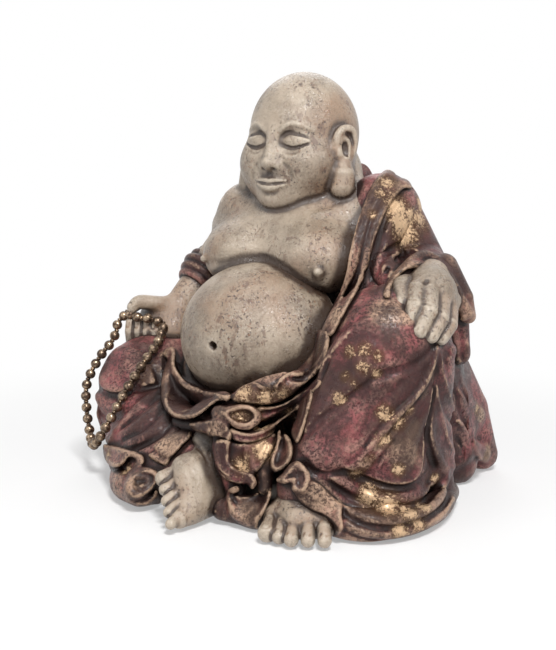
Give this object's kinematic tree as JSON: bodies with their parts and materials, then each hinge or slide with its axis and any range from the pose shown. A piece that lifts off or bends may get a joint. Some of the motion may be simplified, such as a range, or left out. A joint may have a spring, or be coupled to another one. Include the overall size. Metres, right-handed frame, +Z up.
{
  "type": "seated laughing figure statue",
  "caption": "Seated laughing monk figure with a bare belly, a draped robe, one raised knee and a swinging loop of beads under its right hand, on a flat felted base.",
  "frame": {"origin": "on the ground under the middle of the figure's bounding box without the bead loop, at the underside of the base felt", "axes": "+Z up; the figure faces -Y; +X towards the figure's left"},
  "size_m": [0.2442, 0.223, 0.242],
  "materials": {
    "aged_skin": "cast resin painted as aged cream stone, with a dark wash in the hollows and fine specks",
    "robe": "cast resin painted dusty rose and burgundy, worn, with a dark wash and patches of gold leaf",
    "robe_edge": "cast resin painted grey-rose, with pale worn edges",
    "base_resin": "matt",
    "beads": "antique bronze",
    "felt": "felt"
  },
  "bodies": {
    "figure": {"back_drape": "robe", "base_felt": "felt", "base_plate": "base_resin", "belly": "aged_skin", "front_hem": "robe_edge", "head": "aged_skin", "held_beads": "beads", "lapel": "robe_edge", "left_cuff": "robe_edge", "left_foot": "aged_skin", "left_hand": "aged_skin", "left_hem": "robe_edge", "left_leg_drape": "robe", "left_sash_tail": "robe", "left_sleeve": "robe", "right_arm": "aged_skin", "right_cuff": "robe", "right_foot": "aged_skin", "right_hand": "aged_skin", "right_hem": "robe_edge", "right_leg_drape": "robe", "right_sash_tail": "robe", "sash_bow": "robe_edge", "shoulder_drape": "robe", "sleeve_tail": "robe", "torso": "aged_skin", "waist_collar": "robe_edge", "waist_sash": "robe"},
    "beads": {"bead_loop": "beads"}
  },
  "joints": [
    {"name": "bead_loop_swing", "type": "hinge", "parent": "figure", "child": "beads", "pos_m": [-0.094, -0.0095, 0.0917], "axis": [-0.9579, -0.187, 0.218], "range_deg": [0, 50]}
  ]
}
